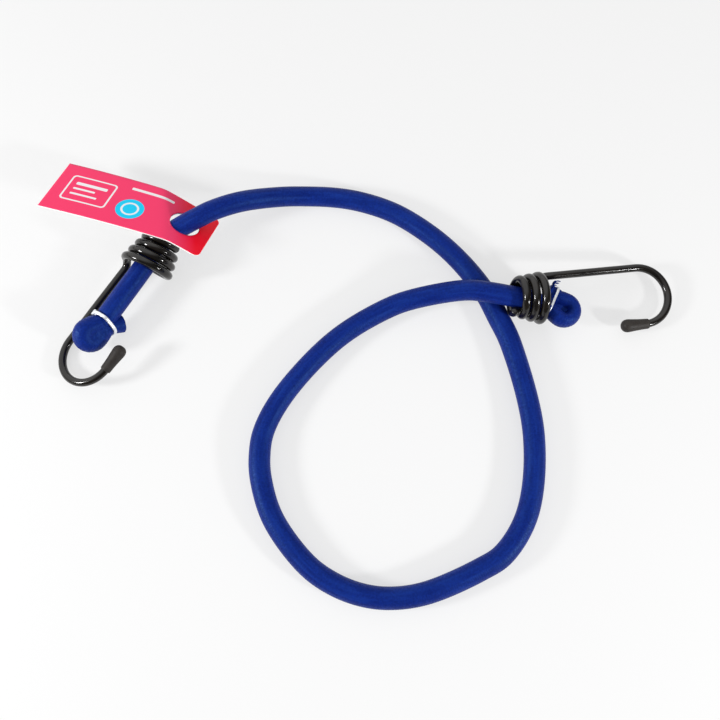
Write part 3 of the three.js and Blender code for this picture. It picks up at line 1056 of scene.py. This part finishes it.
def bend_card(points, offset):
    """The flat card's points bent over the crease, at an offset from its middle layer."""
    steps = 2000
    along = np.array([math.cos(tag_skew), math.sin(tag_skew), 0])
    aside = np.array([-math.sin(tag_skew), math.cos(tag_skew), 0])
    hole_at = (tag_length - tag_hole_from_end) * along[0] - tag_height / 2 * along[1]
    crease_at = hole_at - tag_crease_from_hole
    u = np.linspace(-tag_height, tag_length, steps)
    turn = np.maximum(u, 0) / tag_curl_radius
    turn += tag_crease_turn * (0.5 + 0.5 * np.tanh((u - crease_at) / tag_crease_softness))
    step = u[1] - u[0]
    over = np.cumsum(np.cos(turn)) * step
    down = -np.cumsum(np.sin(turn)) * step
    over -= np.interp(hole_at, u, over)
    down -= np.interp(hole_at, u, down)
    here = points @ along[:2] + hole_at
    facing = np.interp(here, u, turn)
    places = np.outer(np.interp(here, u, over) + offset * np.sin(facing), along)
    places += np.outer(points @ aside[:2], aside)
    places[:, 2] = np.interp(here, u, down) + offset * np.cos(facing)
    return places


points, faces = tag_pattern()
count = len(points)
places = np.vstack([bend_card(points, tag_thickness / 2), bend_card(points, -tag_thickness / 2)])
tag_at = Matrix.Translation(Vector(tag_spot) * mm + Vector((0, 0, cord_rest)))
tag_at @= Euler([math.radians(turn) for turn in tag_turns], "ZYX").to_matrix().to_4x4()
sides = [pair for face in faces for pair in zip(face, face[1:] + face[:1])]
shared = set(sides)
edge_faces = [(b, a, a + count, b + count) for a, b in sides if (b, a) not in shared]
back_faces = [tuple(i + count for i in face)[::-1] for face in faces]
all_faces = faces + back_faces + edge_faces
tag = shaped("hang_card", moved(places, tag_at), all_faces, smooth=False)

# The front is printed. The back and the cut edges are bare card.
mesh = tag.data
for polygon in mesh.polygons:
    polygon.material_index = 0 if polygon.index < len(faces) else 1
    polygon.use_smooth = polygon.index < 2 * len(faces)

# The print is placed by a map in millimetres, from the middle of the hole.
mapped(mesh, "print", np.vstack([points, points]) / mm)

# A printed shape: a box with rounded corners, from 0 outside to 1 inside.
shape, taken, given = open_group(
    "printed shape",
    [
        ("Middle", "NodeSocketVector", (0, 0, 0)),
        ("Half Size", "NodeSocketVector", (1, 1, 0)),
        ("Corner", "NodeSocketFloat", 0.5),
        ("Softness", "NodeSocketFloat", 0.06),
    ],
    [("Mask", "NodeSocketFloat")],
)


def vectors(operation, first, *second):
    """A step of vector arithmetic in the group, as an output."""
    values = dict(enumerate((first, *second)))
    made = node(shape, "ShaderNodeVectorMath", values, operation=operation)
    return made.outputs["Value" if operation == "LENGTH" else "Vector"]


away = vectors("ABSOLUTE", vectors("SUBTRACT", map_at(shape, "print"), taken.outputs["Middle"]))
past = vectors("SUBTRACT", away, taken.outputs["Half Size"])
past = vectors("ADD", past, taken.outputs["Corner"])
past = vectors("MULTIPLY", vectors("MAXIMUM", past, (0, 0, 0)), (1, 1, 0))
outside = maths(shape, "SUBTRACT", vectors("LENGTH", past), taken.outputs["Corner"])
softness = taken.outputs["Softness"]
soft_low = maths(shape, "MULTIPLY", softness, -1.0)
mask = node(shape, "ShaderNodeMapRange", {0: outside, 1: soft_low, 2: softness, 3: 1.0, 4: 0.0})
shape.links.new(mask.outputs[0], given.inputs["Mask"])


def printed(tree, under, ink, middle, half_size, corner):
    """One flat shape printed over the colours under it."""
    values = {"Middle": (*middle, 0), "Half Size": (*half_size, 0), "Corner": corner}
    placed = node(tree, "ShaderNodeGroup", values, node_tree=shape)
    return blended(tree, placed.outputs["Mask"], under, ink)


# The pink is the red card with a painted sheen over it, the light its flat part mirrors. The red
# is its own colour.
pink_painted_sheen = (1.0, 0.045, 0.158)
ink_red = (1.0, 0.003, 0.020)
ink_cyan = (0.004, 0.66, 0.98)
ink_white = (0.93, 0.93, 0.94)
card_grey = (0.80, 0.79, 0.77)
card_pale = (0.90, 0.895, 0.88)

# The print's ground is the card's own red. Over the flat part a painted sheen makes it pink, and
# the sheen fades out between two distances past the hole, in millimetres and square to the crease.
sheen_fade_from, sheen_fade_to = -5.0, 4.0

card, tree, shader = new_finish("printed card with painted sheen", Roughness=0.4, Specular_IOR_Level=0.2)
skewed = node(
    tree,
    "ShaderNodeVectorMath",
    {0: map_at(tree, "print"), 1: (math.cos(tag_skew), math.sin(tag_skew), 0)},
    operation="DOT_PRODUCT",
)
painted_sheen_fade = node(tree, "ShaderNodeMapRange", {0: skewed.outputs["Value"], 1: sheen_fade_from, 2: sheen_fade_to})
print_and_painted_sheen = blended(tree, painted_sheen_fade.outputs[0], pink_painted_sheen, ink_red)

# Each shape's ink, middle, half size and corner, in millimetres and in the order of printing: an
# outlined box with three bars in it, a disc with a ring, and one bar more.
prints = [
    (ink_white, (-41.0, 0.5), (9.6, 7.2), 1.6),
    # The box's inside takes the pink of the ground's painted sheen again.
    (pink_painted_sheen, (-41.0, 0.5), (8.9, 6.5), 1.1),
    (ink_white, (-41.0, 3.4), (6.6, 0.8), 0.4),
    (ink_white, (-43.0, 0.4), (4.6, 0.5), 0.3),
    (ink_white, (-42.0, -2.6), (5.6, 0.5), 0.3),
    (ink_cyan, (-22.0, -3.0), (5.6, 5.6), 5.6),
    (ink_white, (-22.0, -3.0), (3.6, 3.6), 3.6),
    (ink_cyan, (-22.0, -3.0), (2.8, 2.8), 2.8),
    (ink_white, (-17.0, 8.4), (9.0, 0.7), 0.4),
]
for ink, middle, half_size, corner in prints:
    print_and_painted_sheen = printed(tree, print_and_painted_sheen, ink, middle, half_size, corner)
tree.links.new(print_and_painted_sheen, shader.inputs["Base Color"])
bumped(tree, shader, uneven(tree, size=1.1 * mm, contrast=1.0), 0.01 * mm)

bare_card, tree, shader = new_finish("bare card", Roughness=0.8, Specular_IOR_Level=0.3)
fibres = uneven(tree, size=0.5 * mm, contrast=1.6, detail=4.0)
paper = blended(tree, fibres, card_grey, card_pale)
tree.links.new(paper, shader.inputs["Base Color"])
bumped(tree, shader, fibres, 0.01 * mm)

mesh.materials.append(card)
mesh.materials.append(bare_card)
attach(tag, "tag")
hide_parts("hang_tag")


# Table and light
# A plain pale table top under an even sky. A small lamp stands at the left and one at the right,
# which draw the fine lights on the wire.
floor_size = 12.0
floor_colour = (0.885, 0.885, 0.895)
floor_seen_colour = (0.30, 0.30, 0.30)
floor_glow = (0.612, 0.612, 0.612)
sky_on_things = 0.59
sky_seen = 0.83
sky_bright_way = (-0.35, 0.62, 0.7)
sky_dim, sky_bright = 0.08, 1.35
sky_dim_to, sky_bright_from = 0.3, 0.8

# Each lamp's name, place, power and width. Both point at the same place.
lamps = [
    ("left_lamp", (-0.56, -0.16, 0.30), 2.7, 0.12),
    ("right_lamp", (0.52, -0.34, 0.27), 2.3, 0.07),
]
lamps_aim = (0, -0.03, 0)

half = floor_size / 2
corners = [(-half, -half, 0), (half, -half, 0), (half, half, 0), (-half, half, 0)]
floor = shaped("table_top", corners, [(0, 1, 2, 3)], smooth=False)


def seen_directly(tree):
    """1 where a ray comes from the camera, or by way of a mirror or glass, and 0 elsewhere."""
    rays = node(tree, "ShaderNodeLightPath")
    seen = rays.outputs["Is Camera Ray"]
    for ray in ("Is Glossy Ray", "Is Transmission Ray"):
        seen = maths(tree, "MAXIMUM", seen, rays.outputs[ray])
    return seen


# What the table throws on things is its own colour. To the eye it is nearly white by itself and
# shows its shadows faintly.
pale, tree, shader = new_finish("pale table", Roughness=0.85, Specular_IOR_Level=0.1)
seen = seen_directly(tree)
tree.links.new(blended(tree, seen, floor_colour, floor_seen_colour), shader.inputs["Base Color"])
tree.links.new(blended(tree, seen, (0.0, 0.0, 0.0), floor_glow), shader.inputs["Emission Color"])
shader.inputs["Emission Strength"].default_value = 1
floor.data.materials.append(pale)

for name, at, power, size in lamps:
    light = bpy.data.lights.new(name, "AREA")
    light.shape = "DISK"
    light.size = size
    light.energy = power
    lamp = bpy.data.objects.new(name, light)
    scene.collection.objects.link(lamp)
    lamp.location = at
    lamp.rotation_euler = (Vector(at) - Vector(lamps_aim)).to_track_quat("Z", "Y").to_euler()

world = bpy.data.worlds.new("studio")
scene.world = world
world.use_nodes = True
tree = world.node_tree
sky = tree.nodes["Background"]
sky.inputs["Color"].default_value = (1, 1, 1, 1)

# The sky is even on things and behind them. In mirrors it is bright high at the back, a little to
# the left, and dim elsewhere.
rays = node(tree, "ShaderNodeLightPath")
way = node(tree, "ShaderNodeTexCoord").outputs["Generated"]
facing = node(
    tree, "ShaderNodeVectorMath", {0: way, 1: sky_bright_way}, operation="DOT_PRODUCT"
).outputs["Value"]
mirrored = node(
    tree,
    "ShaderNodeMapRange",
    {0: facing, 1: sky_dim_to, 2: sky_bright_from, 3: sky_dim, 4: sky_bright},
)
plain = between(tree, rays.outputs["Is Camera Ray"], sky_on_things, sky_seen)
strength = node(
    tree,
    "ShaderNodeMix",
    {0: rays.outputs["Is Glossy Ray"], 2: plain, 3: mirrored.outputs[0]},
)
tree.links.new(strength.outputs[0], sky.inputs["Strength"])
scene.view_settings.view_transform = "Standard"
